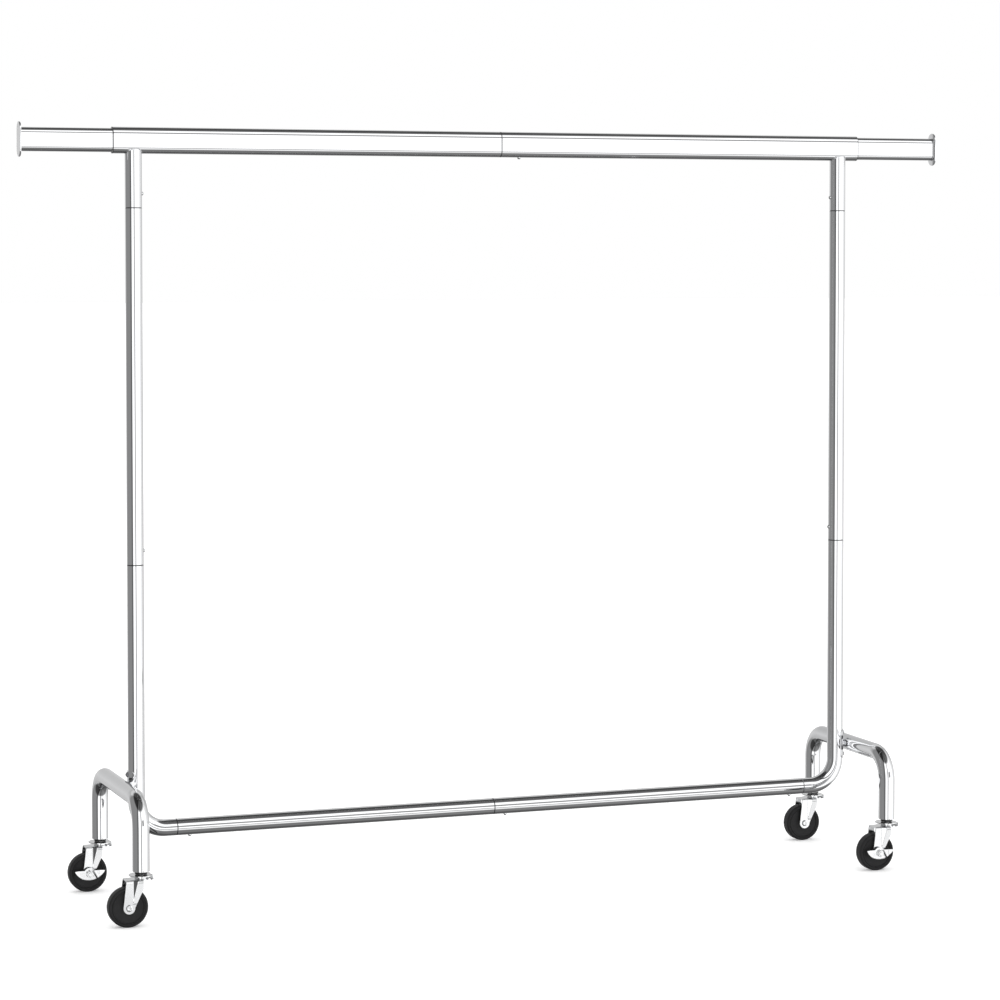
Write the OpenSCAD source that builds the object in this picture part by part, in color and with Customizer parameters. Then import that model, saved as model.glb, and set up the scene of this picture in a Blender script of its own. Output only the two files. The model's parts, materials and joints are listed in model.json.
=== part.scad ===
// Rolling clothes rack: tubular frame with a telescopic flat-oval hanging rail,
// two inverted-U legs bolted to the posts, and four swivel casters, two with brakes.
// Origin: on the floor, midway between the posts and on their plane. +X along the rail, +Z up.
// The side towards -X is called left, and the side towards -Y is called front.

/* [Overall] */
// Distance between the axes of the two posts
post_spacing = 1470; // [900:10:1800]
// Height of the hanging rail's centre line above the floor
rail_z = 1454; // [1150:2:1800]
// Height of the bottom rail's centre line above the floor
bottom_z = 147; // [140:1:260]
// Distance between the vertical tubes of one leg, axis to axis
leg_spread = 340; // [260:5:500]

/* [Round tube] */
// Outer diameter of the posts, the bottom rail and the legs
tube_d = 32; // [25:0.5:38]
// Wall thickness of all tubes
tube_wall = 1.2; // [1:0.1:2]
// Chamfer on the outer edge of each tube end
end_chamfer = 0.9; // [0.2:0.1:1]
// Radial gap between a neck and the tube it goes into
neck_gap = 0.1; // [0.05:0.05:0.3]
// Length of each neck inside the next tube
neck_len = 46; // [40:1:60]
// Length of each neck's root inside its own tube
neck_root = 14; // [8:1:20]

/* [Posts and bottom rail] */
// Length of the round stub below the hanging rail's centre line
stub_len = 127; // [100:1:200]
// Length of a middle post between its two joint lines
middle_len = 675; // [400:5:900]
// Centre-line radius of the elbow at the foot of each post
elbow_r = 55; // [45:1:80]
// Straight length from the elbow to the bottom rail's joint
elbow_tail = 21.5; // [10:0.5:60]
// Offset of the bottom rail's middle joint towards the left
middle_joint_offset = 16; // [0:1:40]

/* [Hanging rail] */
// Height of the flat-oval sleeve
sleeve_h = 50; // [40:1:60]
// Thickness of the flat-oval sleeve
sleeve_t = 25; // [20:0.5:32]
// Length of sleeve that stands out past each post's axis
sleeve_overhang = 41; // [30:1:80]
// Height of the extension rod
rod_h = 45; // [34:0.5:54]
// Thickness of the extension rod
rod_t = 20; // [14:0.5:26]
// Length of rod outside the sleeve when it is pulled out
rod_out = 174; // [80:1:300]
// Length of rod still inside the sleeve when it is pulled out
rod_in = 120; // [60:5:200]
// Height of the stop plate on the rod's end
plate_h = 66; // [56:1:80]
// Width of the stop plate
plate_w = 31; // [26:1:40]
// Thickness of the stop plate
plate_t = 3; // [2:0.5:5]
// Height that the stub's coped top rises beside the sleeve
cope_rise = 7.5; // [4:0.5:10]

/* [Legs] */
// Height of a leg's top tube, axis above the floor
leg_z = 231; // [215:1:330]
// Centre-line radius of the leg's bends
leg_bend_r = 52; // [45:1:70]
// Thickness of the saddle bracket
bracket_t = 1.5; // [1.2:0.1:3]
// Height of the saddle bracket
bracket_h = 58; // [56:1:80]
// Angle of the post's round that the bracket covers
bracket_angle = 130; // [90:5:150]
// Depth that the leg tube is pressed in where it seats on the bracket
seat_depth = 1; // [0.5:0.1:1.1]
// Distance between the two bracket bolts
bolt_spacing = 44; // [42:1:60]
// Thread diameter of the bracket bolts
bolt_d = 6; // [5:1:6]
// Length of the bracket bolts under the head
bolt_len = 14; // [12:1:20]

/* [Snap buttons] */
// Diameter of a snap button
button_d = 7; // [5:0.5:8]
// Radial gap round a snap button
button_gap = 0.1; // [0.05:0.05:0.3]
// Height of a snap button above the tube
button_out = 3.5; // [2.5:0.5:5]
// Distance from a joint line to its snap button
button_pos = 27; // [20:1:30]
// Distance from the hanging rail's middle joint to its snap button
rail_button_pos = 40; // [26:1:44]
// Width of the leaf springs
leaf_w = 8; // [6:0.5:9]
// Thickness of the leaf springs
leaf_t = 0.8; // [0.5:0.1:1]

/* [Casters] */
// Diameter of a wheel
wheel_d = 75; // [60:1:90]
// Width of a wheel
wheel_w = 24; // [18:0.5:26]
// Gap between the wheel's top and the fork's top plate
wheel_clear = 11.5; // [6:0.5:20]
// Distance from the swivel axis back to the wheel's axle
caster_trail = 26; // [18:0.5:32]
// Diameter of the fork's cover disc
cover_d = 46; // [42:1:56]
// Height of the plastic collar below the leg's end
collar_h = 5; // [3:0.5:8]
// Thickness of the fork's sheet
fork_t = 2; // [1.5:0.1:3]
// Gap between the wheel and each fork cheek
fork_gap = 2.5; // [2.3:0.1:4]
// Distance that each fork cheek flares out in front of the axle
flare_out = 4.5; // [2:0.5:6]
// Diameter of the axle bolt
axle_d = 8; // [6:1:10]
// Radial gap of the turning fits in a caster
run_gap = 0.1; // [0.05:0.01:0.1]
// Width of a brake lever, tip to tip
lever_w = 58; // [46:1:70]

/* [Hidden] */
$fn = 96;

tube_r = tube_d / 2;
tube_in = tube_r - tube_wall;
neck_r = tube_in - neck_gap;
neck_in = neck_r - tube_wall;
post_x = post_spacing / 2;
upper_joint_z = rail_z - stub_len;
lower_joint_z = upper_joint_z - middle_len;
foot_joint_x = post_x - elbow_r - elbow_tail;
middle_joint_x = -middle_joint_offset;
sleeve_end_x = post_x + sleeve_overhang;
rod_end_x = sleeve_end_x + rod_out;
leg_x = post_x + tube_r + bracket_t + tube_r - seat_depth;
leg_y = leg_spread / 2;

// Stack at the foot of a leg, downwards from the tube's end
cover_gap = 1;
cover_t = 1.6;
race_clear = 0.6;
race_t = 1.4;
ball_d = 2.5;
ball_play = 0.1;
cup_t = 1.3;
fork_top = -collar_h - cover_gap - cover_t - race_clear - race_t - ball_d - ball_play - cup_t;
tube_end_z = wheel_d + wheel_clear + fork_t - fork_top;
hole_r = button_d / 2 + button_gap;
eps = 0.01;

chrome = [0.86, 0.87, 0.89];
zinc = [0.78, 0.79, 0.80];
steel = [0.60, 0.61, 0.63];
black = [0.06, 0.06, 0.06];
rubber = [0.10, 0.10, 0.11];
nylon = [0.90, 0.90, 0.88];

// ---- Tubes -------------------------------------------------------------

// A round bar along +Z from 0 to len with both outer edges chamfered
module chamfered_bar(r, len, low = end_chamfer, high = end_chamfer) {
    if (low > 0) cylinder(r1 = r - low, r2 = r, h = low);
    translate([0, 0, low]) cylinder(r = r, h = len - low - high);
    if (high > 0) translate([0, 0, len - high]) cylinder(r1 = r, r2 = r - high, h = high);
}

// A button hole through the wall towards local +X, at height z
module button_hole(z, reach = tube_d) {
    translate([0, 0, z]) rotate([0, 90, 0]) cylinder(r = hole_r, h = reach);
}

// A straight tube along +Z. neck: a reduced neck stands out past the top end.
// socket: a button hole above the open lower end, towards local +X.
module straight_tube(len, neck = false, socket = false) {
    difference() {
        union() {
            chamfered_bar(tube_r, len);
            if (neck) translate([0, 0, len - neck_root]) chamfered_bar(neck_r, neck_root + neck_len, 0);
        }
        translate([0, 0, -eps]) cylinder(r = tube_in, h = (neck ? len - neck_root : len + 2 * eps) + eps);
        if (neck) translate([0, 0, len - neck_root - eps]) cylinder(r = neck_in, h = neck_root + neck_len + 1);
        if (neck) button_hole(len + button_pos);
        if (socket) button_hole(button_pos);
    }
}

// A quarter bend in the XZ plane from the origin, heading down -Z and turning towards +X
module quarter_bend(bend_r, r) {
    translate([bend_r, 0, 0]) rotate([90, 0, 0]) rotate([0, 0, 180])
        rotate_extrude(angle = 90) translate([bend_r, 0]) circle(r = r);
}

// ---- Hanging rail ------------------------------------------------------

// Flat-oval outline, h high and t thick, with half-round top and bottom edges
module oval(h, t) {
    square([h - t, t], center = true);
    for (side = [-1, 1]) translate([side * (h - t) / 2, 0]) circle(d = t);
}

// Flat-oval bar along +X from x0 to x1 on the hanging rail's centre line
module oval_bar(x0, x1, h, t) {
    translate([x0, 0, rail_z]) rotate([0, 90, 0]) linear_extrude(height = x1 - x0) oval(h, t);
}

sleeve_in_h = sleeve_h - 2 * tube_wall;
sleeve_in_t = sleeve_t - 2 * tube_wall;
coupler_h = sleeve_in_h - 2 * neck_gap;
coupler_t = sleeve_in_t - 2 * neck_gap;

// Round stub under a sleeve at x: coped top, button hole towards the other post at dir
module stub(x, dir) {
    drop = cope_rise - 0.5;
    cope_r = (tube_r * tube_r + drop * drop) / (2 * drop);
    top_z = rail_z - sleeve_h / 2 + cope_rise;
    translate([x, 0, 0]) difference() {
        intersection() {
            translate([0, 0, upper_joint_z]) chamfered_bar(tube_r, rail_z - upper_joint_z);
            union() {
                translate([-tube_d, -tube_d, upper_joint_z])
                    cube([2 * tube_d, 2 * tube_d, top_z - cope_r - upper_joint_z]);
                translate([0, tube_d, top_z - cope_r]) rotate([90, 0, 0]) cylinder(r = cope_r, h = 2 * tube_d);
            }
        }
        translate([0, 0, upper_joint_z - eps]) cylinder(r = tube_in, h = stub_len - sleeve_h / 2 - 1);
        translate([0, 0, upper_joint_z + button_pos]) rotate([0, dir * 90, 0]) cylinder(r = hole_r, h = tube_d);
    }
}

// One sleeve of the hanging rail. dir is -1 for the left and 1 for the right.
module top_sleeve(dir) {
    low = dir < 0 ? -sleeve_end_x : 0;
    high = dir < 0 ? 0 : sleeve_end_x;
    difference() {
        union() {
            oval_bar(low, high, sleeve_h, sleeve_t);
            if (dir < 0) oval_bar(-neck_root, neck_len + 10, coupler_h, coupler_t);
        }
        if (dir < 0) {
            oval_bar(low - eps, -neck_root, sleeve_in_h, sleeve_in_t);
            oval_bar(-neck_root - eps, neck_len + 11, coupler_h - 2 * tube_wall, coupler_t - 2 * tube_wall);
        } else oval_bar(-eps, high + eps, sleeve_in_h, sleeve_in_t);
        translate([rail_button_pos, 0, rail_z - sleeve_h]) cylinder(r = hole_r, h = sleeve_h);
    }
    difference() {
        stub(dir * post_x, -dir);
        oval_bar(dir * post_x - tube_d, dir * post_x + tube_d, sleeve_h, sleeve_t);
    }
}

// Plastic bush in a sleeve's mouth: a thin liner that the rod slides through
bush_gap = 0.1;
bush_len = 24;
module mouth_bush(dir) {
    x0 = dir < 0 ? -sleeve_end_x + 0.5 : sleeve_end_x - bush_len - 0.5;
    difference() {
        oval_bar(x0, x0 + bush_len, sleeve_in_h, sleeve_in_t);
        oval_bar(x0 - 1, x0 + bush_len + 1, rod_h + 2 * bush_gap, rod_t + 2 * bush_gap);
    }
}

// Extension rod: flat-oval tube, drawn out to its full reach
module extension_rod(dir) {
    low = dir < 0 ? -rod_end_x : sleeve_end_x - rod_in;
    high = dir < 0 ? -sleeve_end_x + rod_in : rod_end_x;
    difference() {
        oval_bar(low, high, rod_h, rod_t);
        oval_bar(low - eps, high + eps, rod_h - 2 * tube_wall, rod_t - 2 * tube_wall);
    }
}

// Stop plate welded on the rod's outer end, with half-round ends
module end_plate(dir) {
    x0 = dir < 0 ? -rod_end_x - plate_t : rod_end_x;
    oval_bar(x0, x0 + plate_t, plate_h, plate_w);
}

// Plastic glide on the rod's inner end: a plug with a flange that fills the sleeve
glide_flange = 4;
glide_plug = 18;
module rod_glide(dir) {
    end_x = dir * (sleeve_end_x - rod_in);
    inner = dir < 0 ? end_x : end_x - glide_flange;
    plug = dir < 0 ? end_x - glide_plug : end_x;
    difference() {
        union() {
            oval_bar(inner, inner + glide_flange, sleeve_in_h - 2 * bush_gap, sleeve_in_t - 2 * bush_gap);
            oval_bar(plug, plug + glide_plug, rod_h - 2 * tube_wall, rod_t - 2 * tube_wall);
        }
        oval_bar(end_x - 30, end_x + 30, rod_h - 12, rod_t - 8);
    }
}

// ---- Posts and bottom rail ----------------------------------------------

module middle_post(dir) {
    translate([dir * post_x, 0, lower_joint_z]) rotate([0, 0, dir < 0 ? 0 : 180])
        straight_tube(middle_len, neck = true, socket = true);
}

// Lower post: straight tube, elbow and short tail, with a neck at both ends
// and two bolt holes on its outer side where the leg's bracket sits
module lower_post(dir) {
    straight_low = bottom_z + elbow_r;
    straight = lower_joint_z - straight_low;
    translate([dir * post_x, 0, 0]) rotate([0, 0, dir < 0 ? 0 : 180]) {
        translate([0, 0, straight_low]) difference() {
            union() {
                chamfered_bar(tube_r, straight, 0);
                translate([0, 0, straight - neck_root]) chamfered_bar(neck_r, neck_root + neck_len, 0);
            }
            translate([0, 0, -eps]) cylinder(r = tube_in, h = straight - neck_root + eps);
            translate([0, 0, straight - neck_root - eps]) cylinder(r = neck_in, h = neck_root + neck_len + 1);
            button_hole(straight + button_pos);
            for (s = [-1, 1]) translate([0, 0, leg_z - straight_low + s * bolt_spacing / 2])
                rotate([0, -90, 0]) cylinder(d = bolt_d + 0.4, h = tube_d);
        }
        difference() {
            translate([0, 0, straight_low]) quarter_bend(elbow_r, tube_r);
            translate([0, 0, straight_low]) quarter_bend(elbow_r, tube_in);
        }
        translate([elbow_r, 0, bottom_z]) rotate([0, 90, 0]) difference() {
            union() {
                chamfered_bar(tube_r, elbow_tail, 0);
                translate([0, 0, elbow_tail - neck_root]) chamfered_bar(neck_r, neck_root + neck_len, 0);
            }
            translate([0, 0, -eps]) cylinder(r = tube_in, h = elbow_tail - neck_root + eps);
            translate([0, 0, elbow_tail - neck_root - eps]) cylinder(r = neck_in, h = neck_root + neck_len + 1);
            button_hole(elbow_tail + button_pos);
        }
    }
}

// Bottom rail, left tube: it starts at the left foot joint, and its neck goes into the right tube
module bottom_rail_left() {
    translate([-foot_joint_x, 0, bottom_z]) rotate([0, 90, 0])
        straight_tube(foot_joint_x + middle_joint_x, neck = true, socket = true);
}

// Bottom rail, right tube: open at both ends, with a button hole near each
module bottom_rail_right() {
    len = foot_joint_x - middle_joint_x;
    translate([middle_joint_x, 0, bottom_z]) rotate([0, 90, 0]) difference() {
        straight_tube(len, socket = true);
        button_hole(len - button_pos);
    }
}

// ---- Legs --------------------------------------------------------------

// Inverted-U leg bent from one tube, with a shallow seat pressed in where the bracket is welded
module leg(dir) {
    top = leg_y - leg_bend_r;
    bend_z = leg_z - leg_bend_r;
    translate([dir * leg_x, 0, 0]) {
        for (side = [0, 180]) rotate([0, 0, side]) {
            translate([0, -leg_y, tube_end_z]) difference() {
                chamfered_bar(tube_r, bend_z - tube_end_z, high = 0);
                translate([0, 0, -1]) cylinder(r = tube_in, h = bend_z);
            }
            translate([0, -leg_y, bend_z]) rotate([0, 0, 90]) rotate([180, 0, 0]) difference() {
                quarter_bend(leg_bend_r, tube_r);
                quarter_bend(leg_bend_r, tube_in);
            }
        }
        difference() {
            translate([0, top, leg_z]) rotate([90, 0, 0]) cylinder(r = tube_r, h = 2 * top);
            translate([0, top + 1, leg_z]) rotate([90, 0, 0]) cylinder(r = tube_in, h = 2 * top + 2);
            translate([-dir * (leg_x - post_x), 0, leg_z - tube_d])
                cylinder(r = tube_r + bracket_t, h = 2 * tube_d);
        }
    }
}

// Saddle bracket: a strip that hugs the outer side of the post, round at its four corners,
// with a weld bead round the seat of the leg tube
module leg_bracket(dir) {
    outer = tube_r + bracket_t;
    half_w = outer * sin(bracket_angle / 2);
    corner = 8;
    bead = 2;
    bead_len = 18;
    translate([dir * post_x, 0, leg_z]) rotate([0, 0, dir < 0 ? 180 : 0]) difference() {
        union() {
            intersection() {
                translate([0, 0, -bracket_h / 2]) cylinder(r = outer, h = bracket_h);
                translate([0, 0, 0]) rotate([0, 90, 0]) linear_extrude(height = outer) {
                    square([bracket_h, 2 * (half_w - corner)], center = true);
                    square([bracket_h - 2 * corner, 2 * half_w], center = true);
                    for (a = [-1, 1], b = [-1, 1])
                        translate([a * (bracket_h / 2 - corner), b * (half_w - corner)]) circle(r = corner);
                }
            }
            intersection() {
                translate([0, 0, -tube_r - bead]) cylinder(r = outer + bead, h = tube_d + 2 * bead);
                translate([leg_x - post_x, bead_len / 2, 0]) rotate([90, 0, 0])
                    cylinder(r = tube_r + bead, h = bead_len);
            }
        }
        translate([0, 0, -bracket_h]) cylinder(r = tube_r, h = 2 * bracket_h);
        difference() {
            translate([leg_x - post_x, tube_d, 0]) rotate([90, 0, 0]) cylinder(r = tube_r, h = 2 * tube_d);
            translate([0, 0, -tube_d]) cylinder(r = outer, h = 2 * tube_d);
        }
        for (s = [-1, 1]) translate([0, 0, s * bolt_spacing / 2])
            rotate([0, 90, 0]) cylinder(d = bolt_d + 0.4, h = tube_d);
    }
}

// A round head along local +X: a cylinder of the given height under a spherical cap
module domed(r, straight_h, cap_h) {
    cap_r = (r * r + cap_h * cap_h) / (2 * cap_h);
    rotate([0, 90, 0]) rotate_extrude() {
        square([r, straight_h]);
        translate([0, straight_h]) intersection() {
            translate([0, cap_h - cap_r]) circle(r = cap_r);
            square([r, cap_h]);
        }
    }
}

// The four places of the bracket bolts, with local +X pointing away from the rack's middle
module at_bolts() {
    for (dir = [-1, 1], s = [-1, 1])
        translate([dir * post_x, 0, leg_z + s * bolt_spacing / 2]) rotate([0, 0, dir < 0 ? 180 : 0]) children();
}

// Dome-head bolts with a hexagon socket
module bracket_bolts() {
    head_h = 0.6 * bolt_d;
    rim_h = 0.4;
    seat = tube_r + bracket_t;
    at_bolts() difference() {
        union() {
            translate([seat - bolt_len, 0, 0]) rotate([0, 90, 0]) cylinder(d = bolt_d, h = bolt_len + rim_h);
            translate([seat, 0, 0]) domed(0.87 * bolt_d, rim_h, head_h - rim_h);
        }
        translate([seat + head_h - 2, 0, 0]) rotate([0, 90, 0]) cylinder(d = 0.7 * bolt_d, h = 3, $fn = 6);
    }
}

// Hexagon weld nuts inside the posts
module weld_nuts() {
    nut_r = 0.96 * bolt_d;
    nut_h = 0.8 * bolt_d;
    back = sqrt(tube_in * tube_in - nut_r * nut_r);
    at_bolts() translate([back - nut_h, 0, 0]) rotate([0, 90, 0]) difference() {
        cylinder(r = nut_r, h = nut_h, $fn = 6);
        translate([0, 0, -1]) cylinder(d = bolt_d + 0.1, h = nut_h + 2);
    }
}

// ---- Snap buttons --------------------------------------------------------

// Each button: name, point on its tube's axis, and a turn that points local +X out through
// the tube's wall and local +Z along the neck
button_places = [
    ["rail_middle", [rail_button_pos, 0, rail_z], [0, 90, 0]],
    ["upper_left", [-post_x, 0, upper_joint_z + button_pos], [0, 0, 0]],
    ["upper_right", [post_x, 0, upper_joint_z + button_pos], [0, 0, 180]],
    ["lower_left", [-post_x, 0, lower_joint_z + button_pos], [0, 0, 0]],
    ["lower_right", [post_x, 0, lower_joint_z + button_pos], [0, 0, 180]],
    ["foot_left", [-foot_joint_x + button_pos, 0, bottom_z], [0, 90, 0]],
    ["foot_right", [foot_joint_x - button_pos, 0, bottom_z], [0, 90, 180]],
    ["bottom_middle", [middle_joint_x + button_pos, 0, bottom_z], [0, 90, 0]]];
leaf_back = 8;
leaf_front = 10;

// How far out a strip of the leaf's width can lie inside a neck: in the rail, then in a round tube
coupler_in_t = coupler_t - 2 * tube_wall;
rail_chord = coupler_h / 2 - tube_wall - coupler_in_t / 2
    + sqrt(pow(coupler_in_t / 2, 2) - pow(leaf_w / 2, 2));
round_chord = sqrt(neck_in * neck_in - pow(leaf_w / 2, 2));
function chord(i) = i == 0 ? rail_chord : round_chord;
function wall_out(i) = i == 0 ? sleeve_h / 2 : tube_r;

module at_button(i) {
    translate(button_places[i][1]) rotate(button_places[i][2]) children();
}

// A button riveted on its leaf, which lies just inside the neck
module snap_button(i) {
    leaf_x = chord(i) - 0.3;
    dome_h = min(button_out - 1, button_d / 2);
    at_button(i) translate([leaf_x, 0, 0]) {
        translate([-leaf_t, -leaf_w / 2, -leaf_back]) cube([leaf_t, leaf_w, leaf_back + leaf_front]);
        translate([-eps, 0, 0]) domed(button_d / 2, wall_out(i) + button_out - dome_h - leaf_x + eps, dome_h);
    }
}

// The rest of each leaf spring: a half-round bow, and a foot that bears on the neck's far side
module button_springs() {
    for (i = [0 : len(button_places) - 1]) at_button(i) translate([0, leaf_w / 2, -leaf_back - 0.4])
        rotate([90, 0, 0]) linear_extrude(height = leaf_w) {
            difference() {
                circle(r = chord(i));
                circle(r = chord(i) - leaf_t);
                translate([-2 * chord(i), 0]) square([4 * chord(i), 2 * chord(i)]);
            }
            translate([-chord(i), 0]) square([leaf_t, leaf_back + leaf_front]);
        }
}

// ---- Casters -------------------------------------------------------------

// Each caster: name, sides along X and Y, and whether it has a brake
caster_places = [["front_left", -1, -1, false], ["rear_left", -1, 1, true],
                 ["front_right", 1, -1, true], ["rear_right", 1, 1, false]];

stem_r = 5.5;
socket_len = 40;
king_r = 5;
hub_r = 12.5;
hub_wall = 1.6;
race_r = hub_r - hub_wall - 0.3;
ball_count = 14;
ball_ring_r = 8.6;
plate_front_r = 14;
cover_top = -collar_h - cover_gap;
lip_r = 5;
lip_drop = 0.4;
lip_angle = 60;
cheek_y = wheel_w / 2 + fork_gap;
fork_back = -caster_trail - 5;
flare_x = 7 - caster_trail;
flare_len = 9;
cheek_end_r = 11;
cheek_front_h = 16.5;
axle_z = wheel_d / 2 - tube_end_z;
bush_r = axle_d / 2 + 2;
lever_t = 1.5;
play = 0.3;

// Places a piece at the foot of leg tube i: origin on the swivel axis at the tube's end
module at_caster(i) {
    translate([caster_places[i][1] * leg_x, caster_places[i][2] * leg_y, tube_end_z]) children();
}

// Moves to the wheel's axle, with local +Z pointing to the front
module at_axle(i) {
    at_caster(i) translate([-caster_trail, 0, axle_z]) rotate([90, 0, 0]) children();
}

// Plastic socket pressed into the leg, with a narrower collar below the tube's end
module socket(i) {
    at_caster(i) difference() {
        union() {
            cylinder(r = tube_in - 0.05, h = socket_len);
            translate([0, 0, -collar_h]) cylinder(r = 0.77 * tube_in, h = collar_h + eps);
        }
        translate([0, 0, -collar_h - eps]) cylinder(r = stem_r + 0.05, h = socket_len + collar_h + 1);
    }
}

// Stem pressed up into the socket, with the plate that rests on the balls and a pin that
// centres the fork
module stem(i) {
    race_z = fork_top + cup_t + ball_d + ball_play;
    at_caster(i) {
        translate([0, 0, race_z]) cylinder(r = stem_r, h = socket_len - 4 - race_z);
        translate([0, 0, race_z]) cylinder(r = race_r, h = race_t);
        translate([0, 0, fork_top - fork_t]) cylinder(r = king_r, h = race_z - fork_top + fork_t + eps);
    }
}

module bearing_balls() {
    for (i = [0 : 3], k = [0 : ball_count - 1]) at_caster(i)
        rotate([0, 0, k * 360 / ball_count])
            translate([ball_ring_r, 0, fork_top + cup_t + ball_play / 2 + ball_d / 2]) sphere(d = ball_d, $fn = 24);
}

// Side outline of a cheek: from the fork's top down to a round end at the axle
module cheek_outline() {
    polygon([[fork_back, fork_top], [0, fork_top], [0, fork_top - cheek_front_h],
             [-caster_trail + cheek_end_r, axle_z], [-caster_trail - cheek_end_r, axle_z]]);
    translate([-caster_trail, axle_z]) circle(r = cheek_end_r);
}

// One cheek: a sheet that flares outwards in front of the axle, cut to the side outline
module cheek() {
    back = -caster_trail - cheek_end_r - 1;
    flare_end = flare_x + flare_len;
    inner = cheek_y;
    outer = cheek_y + fork_t;
    out = outer + flare_out;
    intersection() {
        translate([0, 0, axle_z - cheek_end_r - 1]) linear_extrude(height = fork_top - axle_z + cheek_end_r + 1)
            polygon([[back, inner], [flare_x, inner], [flare_end, inner + flare_out], [1, inner + flare_out],
                     [1, out], [flare_end, out], [flare_x, outer], [back, outer]]);
        translate([0, out + 1, 0]) rotate([90, 0, 0]) linear_extrude(height = out + 2) cheek_outline();
    }
}

// Cover disc, with a lip at the front that curls down and back
module cover() {
    lip_x = cover_d / 2 - lip_r;
    translate([0, 0, cover_top - cover_t]) cylinder(r = cover_d / 2, h = cover_t);
    translate([0, 0, cover_top - lip_r - lip_drop]) rotate([0, 0, -lip_angle / 2])
        rotate_extrude(angle = lip_angle) translate([lip_x, 0]) difference() {
            circle(r = lip_r, $fn = 48);
            circle(r = lip_r - cover_t, $fn = 48);
            translate([-2 * lip_r, -2 * lip_r]) square([2 * lip_r, 4 * lip_r]);
        }
}

// Stamped fork: top plate, two flared cheeks, and the hub and cover that hold the swivel race
module fork(i) {
    half = cheek_y + fork_t;
    flare_end = flare_x + flare_len;
    at_caster(i) difference() {
        union() {
            translate([0, 0, fork_top - fork_t]) {
                linear_extrude(height = fork_t) polygon([
                    [fork_back, -half], [flare_x, -half], [flare_end, -half - flare_out], [0, -half - flare_out],
                    [0, half + flare_out], [flare_end, half + flare_out], [flare_x, half], [fork_back, half]]);
                cylinder(r = plate_front_r, h = fork_t);
            }
            for (side = [0, 1]) mirror([0, side, 0]) cheek();
            translate([0, 0, fork_top - 0.5]) cylinder(r = hub_r, h = cover_top - fork_top);
            cover();
        }
        translate([0, 0, fork_top + cup_t])
            cylinder(r = hub_r - hub_wall, h = cover_top - cover_t - fork_top - cup_t);
        translate([0, 0, fork_top - fork_t - 1]) cylinder(r = king_r + run_gap, h = cup_t + fork_t + 2);
        translate([0, 0, cover_top - cover_t - 1]) cylinder(r = stem_r + run_gap, h = cover_t + 2);
        translate([-caster_trail, tube_d, axle_z]) rotate([90, 0, 0])
            cylinder(r = axle_d / 2 + run_gap, h = 2 * tube_d);
    }
}

// Axle bolt with a round head and a hexagon nut. The head is in front on a plain caster
// and behind on a braked one, where the nut holds the lever.
module axle(i) {
    braked = caster_places[i][3];
    outer = cheek_y + fork_t;
    lever_room = braked ? flare_out + lever_t + 2 * play : 0;
    head_h = 2.8;
    nut_h = 0.7 * axle_d;
    at_axle(i) rotate([0, braked ? 180 : 0, 0]) {
        difference() {
            union() {
                translate([0, 0, outer]) cylinder(r1 = 0.82 * axle_d, r2 = 0.6 * axle_d, h = head_h);
                translate([0, 0, -outer - lever_room - nut_h - 1])
                    cylinder(d = axle_d, h = 2 * outer + lever_room + nut_h + 1 + eps);
            }
            translate([0, 0, outer + head_h - 1]) cylinder(r1 = 0.25 * axle_d, r2 = 0.4 * axle_d, h = 1.01);
        }
        translate([0, 0, -outer - lever_room - nut_h]) difference() {
            cylinder(r = 0.9 * axle_d, h = nut_h, $fn = 6);
            translate([0, 0, -1]) cylinder(d = axle_d + 0.1, h = nut_h + 2);
        }
    }
}

// Spacer tube that the wheel turns on, clamped between the cheeks
module wheel_bush(i) {
    at_axle(i) translate([0, 0, -cheek_y]) difference() {
        cylinder(r = bush_r, h = 2 * cheek_y);
        translate([0, 0, -1]) cylinder(d = axle_d + 0.1, h = 2 * cheek_y + 2);
    }
}

// Solid rubber wheel: crowned shoulders, a rim band, dished faces and a hub
module wheel(i) {
    shoulder = 4;
    band = 6.5;
    dish = 2;
    hub_r = 9;
    hub_half = cheek_y - 0.8;
    half = wheel_w / 2;
    r = wheel_d / 2;
    at_axle(i) rotate_extrude() difference() {
        union() {
            translate([0, -half]) square([r - shoulder, wheel_w]);
            translate([0, -half + shoulder]) square([r, wheel_w - 2 * shoulder]);
            for (s = [-1, 1]) translate([r - shoulder, s * (half - shoulder)]) circle(r = shoulder);
            translate([0, -hub_half]) square([hub_r, 2 * hub_half]);
        }
        for (s = [0, 1]) mirror([0, s]) polygon([
            [hub_r, half - dish], [r - band - dish, half - dish], [r - band, half], [r - band, half + 5],
            [hub_r, half + 5]]);
        translate([-1, -wheel_w]) square([bush_r + run_gap + 1, 2 * wheel_w]);
    }
}

// Rocker brake lever: a boat-shaped plate with two turned-out toe tips, and a boss that holds it
// clear of the flared cheek
module brake_lever(i) {
    half = lever_w / 2;
    fold = half - 9;
    at_axle(i) translate([0, 0, cheek_y + fork_t + flare_out + play]) difference() {
        union() {
            translate([0, 0, -flare_out]) cylinder(r = bush_r, h = flare_out + eps);
            linear_extrude(height = lever_t) {
                circle(r = 12);
                polygon([[-fold, 6.2], [-11, 8.6], [11, 8.6], [fold, 6.2], [fold, -3.5], [13, -9], [0, -12],
                         [-13, -9], [-fold, -3.5]]);
            }
            for (side = [0, 1]) mirror([side, 0, 0]) translate([fold - 0.4, 0, 0]) rotate([0, -20, 0])
                linear_extrude(height = lever_t) polygon([[0, 6.2], [9.4, 4.6], [9.4, 3.4], [0, -3.5]]);
        }
        translate([0, 0, -flare_out - 1]) cylinder(r = axle_d / 2 + run_gap, h = flare_out + lever_t + 2);
    }
}

// ---- Nodes ---------------------------------------------------------------

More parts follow.
